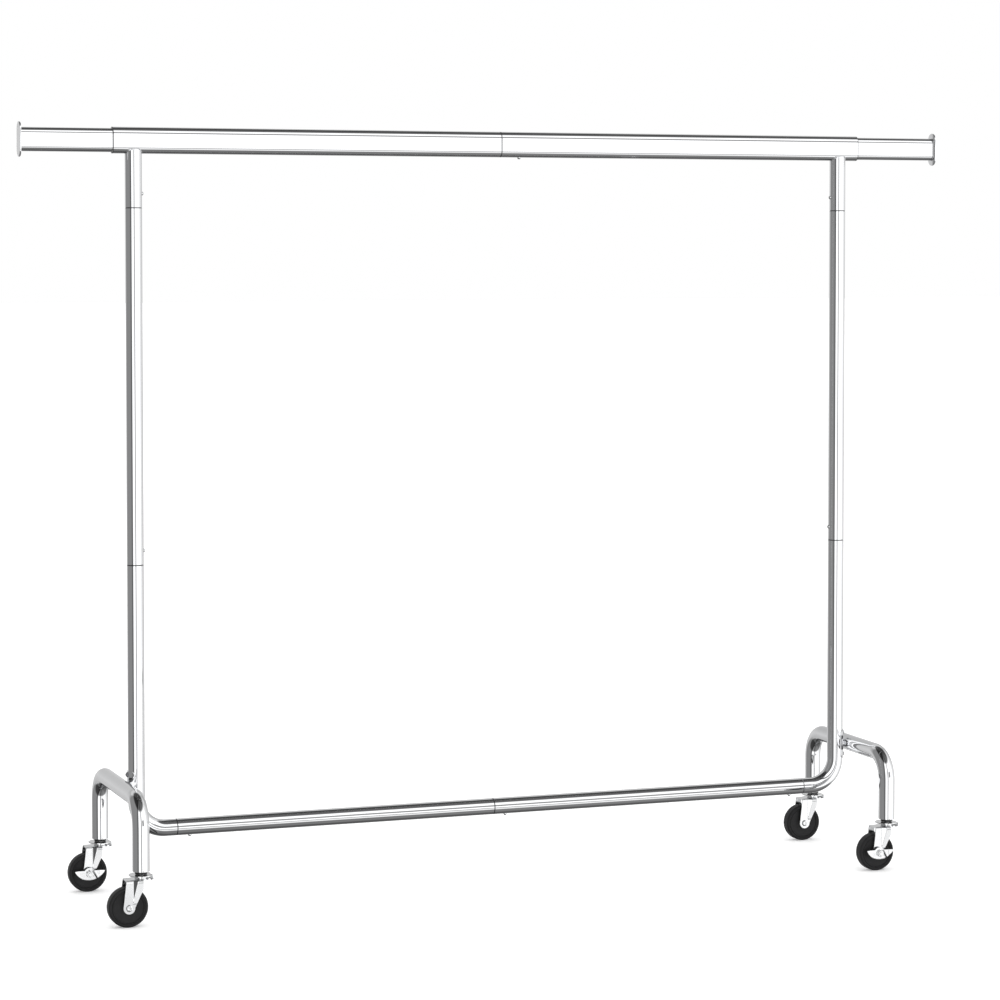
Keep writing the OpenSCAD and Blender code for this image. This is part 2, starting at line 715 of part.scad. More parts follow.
color(chrome) top_sleeve(-1);  // top_sleeve_left
color(chrome) top_sleeve(1);  // top_sleeve_right
color(chrome) extension_rod(-1);  // extension_rod_left
color(chrome) extension_rod(1);  // extension_rod_right
color(chrome) end_plate(-1);  // end_plate_left
color(chrome) end_plate(1);  // end_plate_right
color(nylon) mouth_bush(-1);  // mouth_bush_left
color(nylon) mouth_bush(1);  // mouth_bush_right
color(nylon) rod_glide(-1);  // rod_glide_left
color(nylon) rod_glide(1);  // rod_glide_right
color(chrome) middle_post(-1);  // middle_post_left
color(chrome) middle_post(1);  // middle_post_right
color(chrome) lower_post(-1);  // lower_post_left
color(chrome) lower_post(1);  // lower_post_right
color(chrome) bottom_rail_left();
color(chrome) bottom_rail_right();
color(chrome) leg(-1);  // leg_left
color(chrome) leg(1);  // leg_right
color(chrome) leg_bracket(-1);  // leg_bracket_left
color(chrome) leg_bracket(1);  // leg_bracket_right
color(steel) bracket_bolts();
color(steel) weld_nuts();
color(steel) button_springs();
color(steel) bearing_balls();
for (i = [0 : len(button_places) - 1])
    color(zinc) snap_button(i);
for (i = [0 : len(caster_places) - 1]) {
    name = caster_places[i][0];
    color(black) socket(i);
    color(zinc) stem(i);
    color(zinc) fork(i);
    color(zinc) axle(i);
    color(steel) wheel_bush(i);
    color(rubber) wheel(i);
    if (caster_places[i][3]) color(zinc) brake_lever(i);
}
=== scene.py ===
import json
import math

import bmesh
import bpy
from mathutils import Matrix, Vector


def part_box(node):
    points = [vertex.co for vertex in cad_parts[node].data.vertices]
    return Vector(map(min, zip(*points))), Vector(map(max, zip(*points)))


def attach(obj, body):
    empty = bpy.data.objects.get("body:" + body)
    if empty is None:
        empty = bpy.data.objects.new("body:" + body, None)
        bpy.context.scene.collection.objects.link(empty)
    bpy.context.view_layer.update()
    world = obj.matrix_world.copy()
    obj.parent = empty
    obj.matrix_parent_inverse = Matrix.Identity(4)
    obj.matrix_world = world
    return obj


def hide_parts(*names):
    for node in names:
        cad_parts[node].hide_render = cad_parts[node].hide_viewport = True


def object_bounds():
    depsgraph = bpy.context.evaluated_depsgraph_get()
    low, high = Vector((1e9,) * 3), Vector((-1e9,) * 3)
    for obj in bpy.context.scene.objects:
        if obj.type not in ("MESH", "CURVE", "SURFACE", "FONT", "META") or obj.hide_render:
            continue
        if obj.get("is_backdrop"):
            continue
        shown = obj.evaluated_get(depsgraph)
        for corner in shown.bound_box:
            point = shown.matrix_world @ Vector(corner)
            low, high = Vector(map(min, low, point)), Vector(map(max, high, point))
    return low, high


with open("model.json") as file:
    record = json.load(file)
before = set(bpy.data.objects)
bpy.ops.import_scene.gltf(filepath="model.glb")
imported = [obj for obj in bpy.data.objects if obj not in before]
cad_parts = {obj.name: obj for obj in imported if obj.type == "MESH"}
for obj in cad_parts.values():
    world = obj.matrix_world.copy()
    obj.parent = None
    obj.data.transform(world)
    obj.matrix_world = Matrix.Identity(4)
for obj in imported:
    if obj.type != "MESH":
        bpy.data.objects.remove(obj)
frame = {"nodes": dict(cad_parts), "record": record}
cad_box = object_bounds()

# ---- Studio --------------------------------------------------------------------------
# A white product studio: a pale floor that runs out into a white background, an even
# soft light all round, and the broad dark flags and white panels that polished
# chrome shows as its long bands. None of it is part of the rack.


def pick(sockets, key):
    """The socket with this place, identifier or name."""
    if isinstance(key, int):
        return sockets[key]
    return next((s for s in sockets if s.identifier == key), None) or sockets[key]


class Reading:
    """A number or colour that comes out of a node. Arithmetic on it adds Math nodes beside it."""

    def __init__(self, tree, socket):
        self.tree, self.socket = tree, socket

    def __add__(self, other):
        return self.tree.maths("ADD", self, other)

    def __sub__(self, other):
        return self.tree.maths("SUBTRACT", self, other)

    def __rsub__(self, other):
        return self.tree.maths("SUBTRACT", other, self)

    def __mul__(self, other):
        return self.tree.maths("MULTIPLY", self, other)

    def __truediv__(self, other):
        return self.tree.maths("DIVIDE", self, other)

    def __lt__(self, other):
        return self.tree.maths("LESS_THAN", self, other)

    __radd__, __rmul__ = __add__, __mul__


class Tree:
    """The nodes of one finish, of the studio's light, or of one shaping rule."""

    def __init__(self, group):
        self.group, self.nodes, self.links = group, group.nodes, group.links
        self.nodes.clear()

    def put(self, kind, settings=None, sockets=None, out=0):
        """Adds a node: its settings first, then each socket's value or link. Gives one output."""
        node = self.nodes.new(kind)
        for name, value in (settings or {}).items():
            if name == "stops":
                ramp = node.color_ramp.elements
                while len(ramp) < len(value):
                    ramp.new(0.5)
                for stop, (place, shade) in zip(ramp, value):
                    stop.position = place
                    stop.color = (shade, shade, shade, 1)
            else:
                setattr(node, name, value)
        for key, value in (sockets or {}).items():
            for part in value if isinstance(value, list) else [value]:
                if isinstance(part, Reading):
                    self.links.new(part.socket, pick(node.inputs, key))
                else:
                    pick(node.inputs, key).default_value = part
        return Reading(self, pick(node.outputs, out)) if len(node.outputs) else None

    def maths(self, operation, *values):
        return self.put("ShaderNodeMath", {"operation": operation}, dict(enumerate(values)))

    def tint(self, share, first, second, blend="MIX"):
        """A colour between two colours, or one colour over the other."""
        sockets = {"Factor_Float": share, "A_Color": first, "B_Color": second}
        return self.put("ShaderNodeMix", {"data_type": "RGBA", "blend_type": blend}, sockets,
                        "Result_Color")


scene = bpy.context.scene
scene.view_settings.view_transform = "Standard"
scene.view_settings.look = "None"

# Degrees that the camera stands round to the left of the rack's front, and looks down
camera_turn, camera_dip = 20.06, 2.52
lens_view = bpy.data.cameras.new("studio_camera")
lens_view.sensor_width = 36
lens_view.lens = 111.9
lens_view.shift_y = -0.1183
lens_view.clip_end = 200
camera = bpy.data.objects.new("studio_camera", lens_view)
camera.location = (-2.0983, -5.7471, 1.2573)
camera.rotation_euler = (math.radians(90 - camera_dip), 0, math.radians(-camera_turn))
scene.collection.objects.link(camera)
scene.camera = camera

scene.world = bpy.data.worlds.new("white_studio")
scene.world.use_nodes = True
room = Tree(scene.world.node_tree)
way = room.put("ShaderNodeTexCoord", out="Generated")
east, north, up = (room.put("ShaderNodeSeparateXYZ", None, {0: way}, axis) for axis in "XYZ")
# Degrees round the rack, 0 towards the camera and growing to its right, and degrees of rise
side_share, front_share = math.sin(math.radians(camera_turn)), math.cos(math.radians(camera_turn))
across = east * front_share - north * side_share
toward = 0 - east * side_share - north * front_share
bearing = room.maths("ARCTAN2", across, toward) * (180 / math.pi)
height = room.maths("ARCSINE", up) * (180 / math.pi)


def hung(angle, half_turn, stops):
    """The shades of panels and flags hung at these angles, from minus to plus half_turn."""
    return room.put("ShaderNodeValToRGB", {"stops": [
        ((place + half_turn) / (2 * half_turn), shade) for place, shade in stops]},
        {0: (angle + half_turn) / (2 * half_turn)})


round_panels = hung(bearing, 180, (
    (-180, 0.50), (-128, 0.50), (-118, 0.19), (-60, 0.20), (-40, 0.18), (-35, 0.08), (-24, 0.08),
    (-18, 1.0), (8, 1.0), (11, 0.16), (19, 0.16), (22, 1.0), (82, 1.0), (100, 0.68), (135, 0.55),
    (150, 0.36), (162, 0.50)))
deep_panels = hung(height, 90, (
    (-90, 0.08), (-60, 0.17), (-40, 0.20), (-32, 1.0), (46, 1.0), (54, 0.12), (90, 0.06)))
level_panels = hung(height, 90, (
    (-30, 0.80), (-22, 0.72), (-18, 0.26), (-13.5, 0.26), (-11, 1.0), (3, 1.0), (5, 0.22),
    (20, 0.22), (23, 1.0)))
# The level bands hang only where the rails show them, to the right of the camera
rails_bearing, rails_spread = 39.5, 11.5
facing_rails = room.maths("COMPARE", bearing, rails_bearing, rails_spread)
panels = room.tint(1.0, round_panels, deep_panels, "MULTIPLY")
panels = room.tint(facing_rails, panels, room.tint(1.0, panels, level_panels, "MULTIPLY"))
# Low down behind the rack there is only one plain wall, which darkens upwards
back_from, wall_top, wall_dark = 122, 32, 70
low_down = room.maths("ABSOLUTE", height)
behind = (1 - (room.maths("ABSOLUTE", bearing) < back_from)) * (low_down < wall_top)
panels = room.tint(behind, panels,
                   room.tint(low_down / wall_dark, round_panels, (0.2, 0.2, 0.2, 1)))
camera_ray, soft_ray = (room.put("ShaderNodeLightPath", out=name)
                        for name in ("Is Camera Ray", "Is Diffuse Ray"))
white, even, banded = (
    room.put("ShaderNodeBackground", None, {"Color": colour, "Strength": strength})
    for colour, strength in (((1, 1, 1, 1), 1.0), ((1, 1, 1, 1), 1.12), (panels, 1.32)))
light = room.put("ShaderNodeMixShader", None, {0: soft_ray, 1: banded, 2: even})
light = room.put("ShaderNodeMixShader", None, {0: camera_ray, 1: light, 2: white})
room.put("ShaderNodeOutputWorld", None, {"Surface": light})

floor_half = 60
floor_mesh = bpy.data.meshes.new("studio_floor")
floor_mesh.from_pydata([(x * floor_half, y * floor_half, 0)
                        for x, y in ((-1, -1), (1, -1), (1, 1), (-1, 1))], [], [(0, 1, 2, 3)])
floor = bpy.data.objects.new("studio_floor", floor_mesh)
scene.collection.objects.link(floor)
floor.visible_glossy = False
floor_mesh.materials.append(bpy.data.materials.new("pale_floor"))
floor_mesh.materials[0].use_nodes = True
paint = Tree(floor_mesh.materials[0].node_tree)
grain = paint.put("ShaderNodeTexNoise", None, {"Scale": 3.0, "Detail": 3.0})
matt = paint.put("ShaderNodeBsdfPrincipled", None, {
    "Base Color": paint.tint(grain, (0.96, 0.96, 0.96, 1), (0.98, 0.98, 0.98, 1)),
    "Roughness": 0.9, "Specular IOR Level": 0.0, "Emission Color": (1, 1, 1, 1),
    "Emission Strength": 0.24})
paint.put("ShaderNodeOutputMaterial", None, {"Surface": matt})
floor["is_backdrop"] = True

# ---- Round tubes: posts and bottom rail ----------------------------------------------
# Drawn steel tube, 32 mm across, bent at the foot of each post and plated with bright
# chrome. The polisher's belt runs lengthwise and leaves very faint lines under the plate.

MM = 0.001
# Half the width of the near-black line painted at each joint as the shade in the gap between two
# cut tube ends, in millimetres
GAP_SHADE_HALF_WIDTH = 0.95


def finish(name, **fixed):
    """Starts a finish. Gives its material, its tree, where a point lies on the piece, and the
    values that are the same all over."""
    made = bpy.data.materials.new(name)
    made.use_nodes = True
    tree = Tree(made.node_tree)
    return made, tree, tree.put("ShaderNodeTexCoord", out="Object"), {
        name.replace("_", " "): value for name, value in fixed.items()}


def coat(tree, fixed, **varied):
    """Ends a finish: the shader with its fixed and varying values."""
    sockets = {**fixed, **{name.replace("_", " "): value for name, value in varied.items()}}
    tree.put("ShaderNodeOutputMaterial", None,
             {"Surface": tree.put("ShaderNodeBsdfPrincipled", None, sockets)})


def grains(tree, place, stretch, detail=3.0, scale=1.0):
    """Noise with this many grains a metre along X, Y and Z."""
    run = tree.put("ShaderNodeMapping", None, {"Vector": place, "Scale": stretch})
    return tree.put("ShaderNodeTexNoise", None, {"Vector": run, "Scale": scale, "Detail": detail})


def raised(tree, rise, depth):
    """Turns a height from 0 to 1 into a normal, the height times this depth in metres."""
    return tree.put("ShaderNodeBump", None, {"Strength": 1.0, "Distance": depth, "Height": rise})


def bright_chrome(name, stretch, joints=(), axis="Z"):
    """Chrome plate over belt-polished steel. stretch is how close the polish lines lie on X, Y, Z.
    At each joint's place along the axis, in millimetres, a dull band is painted near-black as the
    gap's shade."""
    made, tree, place, fixed = finish(name)
    lines = grains(tree, place, stretch)
    haze = grains(tree, place, (14, 14, 14), 4.0)
    patches = grains(tree, place, (90, 90, 90), 2.0)
    polish = tree.tint(haze * 0.6 + lines * 0.4, (0.93, 0.935, 0.945, 1), (0.87, 0.875, 0.89, 1))
    rough, metal = haze * 0.03 + patches * 0.015 + lines * 0.02 + 0.025, 1.0
    if joints:
        # Painted shade: a near-black, rougher, less metallic band at each joint stands in for the
        # shade in the gap between tube ends
        along = tree.put("ShaderNodeSeparateXYZ", None, {0: place}, axis)
        cut = sum(tree.maths("COMPARE", along, joint * MM, GAP_SHADE_HALF_WIDTH * MM) for joint in joints)
        polish = tree.tint(cut, polish, (0.035, 0.035, 0.037, 1))
        rough, metal = rough + cut * 0.45, 1 - cut * 0.7
    coat(tree, fixed, Base_Color=polish, Roughness=rough, Metallic=metal,
         Normal=raised(tree, lines, 0.000004))
    return made


def refinish(material, *nodes):
    """Gives carried-over pieces their real finish."""
    for name in nodes:
        for place in range(len(frame["nodes"][name].data.materials)):
            frame["nodes"][name].data.materials[place] = material


def reach_of(node, axis):
    """How far a node reaches along one axis, in millimetres."""
    low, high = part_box(node)
    return low[axis] / MM, high[axis] / MM


sides = ("left", "right")


def both(*stems):
    """The names of like pieces on the rack's left and right."""
    return [stem + side for stem in stems for side in sides]


# A middle post's box takes in the reduced neck that goes up inside the stub
neck_length = 46
post_low, post_high = reach_of("middle_post_left", 2)
upright_chrome = bright_chrome("bright_chrome_upright", (420, 420, 6),
                               (post_low, post_high - neck_length))
level_chrome = bright_chrome("bright_chrome_level", (6, 420, 420), (
    reach_of("bottom_rail_left", 0)[0], *reach_of("bottom_rail_right", 0)), "X")
refinish(upright_chrome, *both("middle_post_", "lower_post_"))
refinish(level_chrome, *both("bottom_rail_"))

# ---- Hanging rail: sleeves, bushes, rods and glides ----------------------------------
# Two flat-oval sleeves with a chromed rod sliding in each end. A white nylon bush lines
# each sleeve's mouth, and a nylon glide is pushed on the rod's inner end.

sleeve_chrome = bright_chrome("bright_chrome_sleeve", (6, 420, 420), (
    reach_of("top_sleeve_left", 0)[0], *reach_of("top_sleeve_right", 0)), "X")
refinish(sleeve_chrome, *both("top_sleeve_"))
refinish(bright_chrome("bright_chrome_rod", (6, 420, 420)), *both("extension_rod_"))

moulded_nylon, tree, place, fixed = finish("moulded_white_nylon", Subsurface_Weight=0.05)
mottle = grains(tree, place, (260, 260, 260), 4.0)
coat(tree, fixed, Base_Color=tree.tint(mottle, (0.80, 0.79, 0.75, 1), (0.86, 0.86, 0.83, 1)),
     Roughness=mottle * 0.14 + 0.36, Normal=raised(tree, mottle, 0.00003))
refinish(moulded_nylon, *both("mouth_bush_", "rod_glide_"))

# ---- Stop plates ---------------------------------------------------------------------
# A pressed steel plate with half-round ends, welded across each rod's outer end and
# chromed with it. Its edges are tumbled round before plating.


def shape(points, faces):
    """A skin from points in millimetres: doubles merged, faces turned the same way."""
    body = bmesh.new()
    corners = [body.verts.new(Vector(point) * MM) for point in points]
    for face in faces:
        ring = list(dict.fromkeys(face))
        if len(ring) > 2:
            body.faces.new([corners[k] for k in ring])
    bmesh.ops.remove_doubles(body, verts=body.verts, dist=1e-6)
    bmesh.ops.dissolve_degenerate(body, edges=body.edges, dist=1e-7)
    bmesh.ops.recalc_face_normals(body, faces=body.faces)
    skin = bpy.data.meshes.new("skin")
    body.to_mesh(skin)
    body.free()
    return skin


def rings(loops, closed_ends=True):
    """Points and faces of a body that passes through rings of as many points each."""
    count = len(loops[0])
    faces = [[a * count + k, a * count + (k + 1) % count,
              (a + 1) * count + (k + 1) % count, (a + 1) * count + k]
             for a in range(len(loops) - 1) for k in range(count)]
    if closed_ends:
        faces += [list(range(count))[::-1], [(len(loops) - 1) * count + k for k in range(count)]]
    return [point for loop in loops for point in loop], faces


def settled(made):
    """Turns what a piece's modifiers make into its plain mesh."""
    bpy.context.view_layer.update()
    ready = made.evaluated_get(bpy.context.evaluated_depsgraph_get())
    plain = bpy.data.meshes.new_from_object(ready)
    made.modifiers.clear()
    made.data = plain
    return made


def piece(name, skin, material, wall=0.0, edge=0.0, crease=35):
    """A named piece from a skin: a sheet wall and eased edges in millimetres, smooth up to a
    crease in degrees."""
    made = bpy.data.objects.new(name, skin)
    skin.name = name
    scene.collection.objects.link(made)
    skin.materials.clear()
    skin.materials.append(material)
    if wall:
        sheet = made.modifiers.new("wall", "SOLIDIFY")
        sheet.thickness, sheet.offset, sheet.use_even_offset = wall * MM, -1, True
    if edge:
        ease = made.modifiers.new("edge", "BEVEL")
        ease.width, ease.segments, ease.limit_method = edge * MM, 2, "ANGLE"
        ease.angle_limit = math.radians(crease)
        ease.use_clamp_overlap = True
    if wall or edge:
        settled(made)
    made.data.shade_smooth()
    made.data.set_sharp_from_angle(angle=math.radians(crease))
    return made


def oval_ring(x, height, thickness, z, count=96):
    """A flat-oval ring round a line along X, in millimetres."""
    straight, r = (height - thickness) / 2, thickness / 2
    ring = []
    for k in range(count):
        turn = 2 * math.pi * (k + 0.5) / count
        ring.append((x, r * math.cos(turn),
                     z + r * math.sin(turn) + math.copysign(straight, math.sin(turn))))
    return ring


def middle(node):
    """The centre of a CAD node's box, in millimetres."""
    low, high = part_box(node)
    return (low + high) / 2 / MM


plate_chrome = bright_chrome("bright_chrome_pressed", (60, 60, 60))
# The rounded edge: how far in from the face, and how far in from the rim
plate_edge = ((0, 0.7), (0.2, 0.25), (0.7, 0))
for side in sides:
    low, high = (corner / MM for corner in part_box("end_plate_" + side))
    tall, wide, centre = high.z - low.z, high.y - low.y, (high.z + low.z) / 2
    outline = [(low.x + deep, back) for deep, back in plate_edge]
    outline += [(high.x - deep, back) for deep, back in plate_edge[::-1]]
    plate = piece("stop_plate_" + side, shape(*rings([
        oval_ring(x, tall - 2 * back, wide - 2 * back, centre) for x, back in outline])),
        plate_chrome)
    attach(plate, "rod_" + side)
    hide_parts("end_plate_" + side)

# ---- Weld beads ----------------------------------------------------------------------
# Short TIG beads, plated over: where each post's stub meets its sleeve, where each rod
# meets its stop plate, and where each leg is welded to its saddle bracket.


class Rule(Tree):
    """A shaping rule: a Geometry Nodes tree with named sizes that ends in one material."""

    def __init__(self, name, sizes):
        super().__init__(bpy.data.node_groups.new(name, "GeometryNodeTree"))
        face = self.group.interface
        face.new_socket("Geometry", in_out="INPUT", socket_type="NodeSocketGeometry")
        self.keys = {}
        for size, kind in sizes.items():
            socket = face.new_socket(size, in_out="INPUT", socket_type="NodeSocket" + kind)
            self.keys[size] = socket.identifier
        face.new_socket("Geometry", in_out="OUTPUT", socket_type="NodeSocketGeometry")
        self.source = self.nodes.new("NodeGroupInput")

    def size(self, name):
        """One of the rule's inputs: the skin it shapes, or a named size."""
        return Reading(self, pick(self.source.outputs, self.keys.get(name, name)))

    def end(self, made, material):
        """Smooths the result, makes it real mesh and gives it its finish."""
        made = self.put("GeometryNodeSetShadeSmooth", None, {"Geometry": made})
        made = self.put("GeometryNodeRealizeInstances", None, {"Geometry": made})
        made = self.put("GeometryNodeSetMaterial", None, {"Geometry": made, "Material": material})
        self.put("NodeGroupOutput", None, {"Geometry": made})

    def run(self, name, skin, **sizes):
        """Applies the rule to a skin and gives the finished piece as plain mesh."""
        made = bpy.data.objects.new(name, skin)
        scene.collection.objects.link(made)
        shaping = made.modifiers.new(self.group.name, "NODES")
        shaping.node_group = self.group
        for size, value in sizes.items():
            shaping[self.keys[size]] = value
        return settled(made)


# How much the ripples and the slower wander change a bead's thickness, and wanders a metre
ripple_rise, wander_rise, wander_rate = 0.09, 0.3, 150.0
bead_rule = Rule("weld_bead", {"bead": "Float", "ripple": "Float", "step": "Float"})
path = bead_rule.put("GeometryNodeMeshToCurve", None, {"Mesh": bead_rule.size("Geometry")})
path = bead_rule.put("GeometryNodeResampleCurve", {"mode": "LENGTH"},
                     {"Curve": path, "Length": bead_rule.size("step")})
along = bead_rule.put("GeometryNodeSplineParameter", out="Length")
wave = bead_rule.maths("SINE", along / bead_rule.size("ripple") * math.tau) * ripple_rise + 1.0
wander = bead_rule.put("ShaderNodeTexNoise", {"noise_dimensions": "1D"},
                       {"W": along * wander_rate, "Detail": 1.0})
section = bead_rule.put("GeometryNodeCurvePrimitiveCircle", {"mode": "RADIUS"},
                        {"Resolution": 12, "Radius": bead_rule.size("bead")})
bead_rule.end(bead_rule.put("GeometryNodeCurveToMesh", None, {
    "Curve": path, "Profile Curve": section, "Fill Caps": True,
    "Scale": wave * (wander * wander_rise + (1 - wander_rise / 2))}), plate_chrome)


def weld(name, runs, bead, body, ripple=2.1, step=0.5):
    """Lays beads along lines of points, in millimetres."""
    points = [Vector(point) * MM for run in runs for point in run]
    edges, first = [], 0
    for run in runs:
        edges += [(k, k + 1) for k in range(first, first + len(run) - 1)]
        first += len(run)
    line = bpy.data.meshes.new(name)
    line.from_pydata(points, edges, [])
    made = bead_rule.run(name, line, bead=bead * MM, ripple=ripple * MM, step=step * MM)
    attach(made, body)


tube_r = 16.0
rail_z = middle("extension_rod_left").z
post_x = {side: middle("middle_post_" + side).x for side in sides}
sleeve_tall, sleeve_thick = 50.0, 25.0
rod_tall, rod_thick = 45.0, 20.0
sleeve_r, low_z = sleeve_thick / 2, rail_z - (sleeve_tall - sleeve_thick) / 2
seam_steps, seam_reach = 72, 0.96
for side in sides:
    # The stub's top edge lies where its round meets the sleeve's half-round lower edge
    seam = []
    for k in range(seam_steps + 1):
        turn = math.tau * k / seam_steps
        y = tube_r * math.sin(turn)
        x = post_x[side] + tube_r * math.cos(turn)
        reach = min(abs(y), sleeve_r * seam_reach)
        seam.append((x, math.copysign(reach, y), low_z - math.sqrt(sleeve_r ** 2 - reach ** 2)))
    weld("stub_weld_" + side, [seam], 0.8, "root")
    plate_low, plate_high = (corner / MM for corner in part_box("end_plate_" + side))
    inner = plate_high.x if side == "left" else plate_low.x
    loop = oval_ring(inner, rod_tall, rod_thick, rail_z)
    weld("plate_weld_" + side, [loop + loop[:1]], 1.0, "rod_" + side)

# ---- Snap buttons --------------------------------------------------------------------
# A zinc-plated steel button riveted on the arm of a leaf spring inside each neck. It
# comes out through the outer tube's hole and is pressed in to take the rack apart.


def bright_zinc(name, stretch, lines_deep=0.000008):
    """Zinc plate over rolled steel sheet: softer than chrome, with faint rolling lines."""
    made, tree, place, fixed = finish(name, Metallic=1.0)
    lines = grains(tree, place, stretch)
    cloud = grains(tree, place, (45, 45, 45), 4.0)
    spangle = tree.put("ShaderNodeTexVoronoi", None, {"Vector": place, "Scale": 420.0}, "Distance")
    dull = cloud * 0.7 + spangle * 0.3
    coat(tree, fixed, Base_Color=tree.tint(dull, (0.93, 0.935, 0.94, 1), (0.80, 0.81, 0.82, 1)),
         Roughness=cloud * 0.08 + lines * 0.04 + 0.04,
         Normal=raised(tree, lines * 0.7 + spangle * 0.3, lines_deep))
    return made


pressed_zinc = bright_zinc("bright_zinc_pressed", (300, 300, 40))
button_places = ("rail_middle", "upper_left", "upper_right", "lower_left", "lower_right",
                 "foot_left", "foot_right", "bottom_middle")
refinish(pressed_zinc, *("button_" + name for name in button_places))

spring_steel, tree, place, fixed = finish("blued_spring_steel", Metallic=1.0)
scale_marks = grains(tree, place, (30, 30, 30), 5.0)
coat(tree, fixed, Base_Color=tree.tint(scale_marks, (0.42, 0.43, 0.46, 1), (0.62, 0.62, 0.63, 1)),
     Roughness=scale_marks * 0.2 + 0.22, Normal=raised(tree, scale_marks, 0.00001))
refinish(spring_steel, "button_springs", "weld_nuts")

# ---- Legs ----------------------------------------------------------------------------
# Each leg is one tube bent twice into an upside-down U. Its middle is pressed in a little
# where it seats against the saddle bracket, and its two ends are cut square.

leg_chrome = bright_chrome("bright_chrome_bent", (70, 70, 70))
leg_rule = Rule("bent_leg", {"bend": "Float", "tube": "Float", "step": "Float", "post": "Float",
                             "seat": "Float", "side": "Float"})
line = leg_rule.put("GeometryNodeMeshToCurve", None, {"Mesh": leg_rule.size("Geometry")})
line = leg_rule.put("GeometryNodeFilletCurve", {"mode": "POLY"}, {
    "Curve": line, "Count": 60, "Radius": leg_rule.size("bend"), "Limit Radius": True})
line = leg_rule.put("GeometryNodeResampleCurve", {"mode": "LENGTH"},
                    {"Curve": line, "Length": leg_rule.size("step")})
round_section = leg_rule.put("GeometryNodeCurvePrimitiveCircle", {"mode": "RADIUS"},
                             {"Resolution": 64, "Radius": leg_rule.size("tube")})
skin = leg_rule.put("GeometryNodeCurveToMesh", None,
                    {"Curve": line, "Profile Curve": round_section})
# What lies inside the saddle's round is pressed out to it
spot = leg_rule.put("GeometryNodeInputPosition")
x, y = (leg_rule.put("ShaderNodeSeparateXYZ", None, {0: spot}, axis) for axis in "XY")
from_post, seat_squared = x - leg_rule.size("post"), leg_rule.size("seat") * leg_rule.size("seat")
pressed = from_post * from_post + y * y < seat_squared
reach = leg_rule.maths("SQRT", leg_rule.maths("MAXIMUM", seat_squared - y * y, 0.0))
reach = reach * leg_rule.size("side")
skin = leg_rule.put("GeometryNodeSetPosition", None, {"Geometry": skin, "Offset": leg_rule.put(
    "ShaderNodeCombineXYZ", None, {"X": pressed * (reach - from_post)})})
leg_rule.end(skin, leg_chrome)

bend_r, tube_wall, saddle_r = 52.0, 1.2, 17.5
outwards = {"left": -1, "right": 1}
leg_x = {}
for side, facing in outwards.items():
    low, high = (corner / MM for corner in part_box("leg_" + side))
    # Measured from its outer side, because the inner side is pressed in
    at_x = high.x - tube_r if facing > 0 else low.x + tube_r
    at_y, top = high.y - tube_r, high.z - tube_r
    leg_x[side], leg_z, tube_end = at_x, top, low.z
    wire = bpy.data.meshes.new("leg_line")
    wire.from_pydata([Vector(p) * MM for p in ((at_x, -at_y, low.z), (at_x, -at_y, top),
                                               (at_x, at_y, top), (at_x, at_y, low.z))],
                     [(0, 1), (1, 2), (2, 3)], [])
    made = leg_rule.run("bent_leg_" + side, wire, bend=bend_r * MM, tube=tube_r * MM, step=2 * MM,
                        post=post_x[side] * MM, seat=saddle_r * MM, side=float(facing))
    body = bmesh.new()
    body.from_mesh(made.data)
    bmesh.ops.remove_doubles(body, verts=body.verts, dist=1e-7)
    bmesh.ops.recalc_face_normals(body, faces=body.faces)
    # An open tube's normals may all turn inwards together
    outer = max(body.verts, key=lambda v: v.co.x)
    if outer.normal.x < 0:
        bmesh.ops.reverse_faces(body, faces=body.faces)
    body.to_mesh(made.data)
    body.free()
    wall = made.modifiers.new("wall", "SOLIDIFY")
    wall.thickness, wall.offset = tube_wall * MM, -1
    ease = made.modifiers.new("edge", "BEVEL")
    ease.width, ease.segments = 0.35 * MM, 2
    ease.limit_method, ease.angle_limit = "ANGLE", math.radians(60)
    settled(made)
    made.data.shade_smooth()
    made.data.set_sharp_from_angle(angle=math.radians(40))
    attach(made, "root")
    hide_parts("leg_" + side)

# ---- Saddle brackets and their bolts -------------------------------------------------
# A curved strip of pressed steel, welded on the leg, that hugs the outer side of the post.
# Two dome-head socket bolts go through it into weld nuts inside the post.


def net(rows, closed=False):
    """Points and faces of a sheet through rows of as many points each. Its last row may meet its
    first."""
    count = len(rows[0])
    faces = [[a * count + b, a * count + b + 1,
              (a + 1) % len(rows) * count + b + 1, (a + 1) % len(rows) * count + b]
             for a in range(len(rows) - (not closed)) for b in range(count - 1)]
    return [point for row in rows for point in row], faces


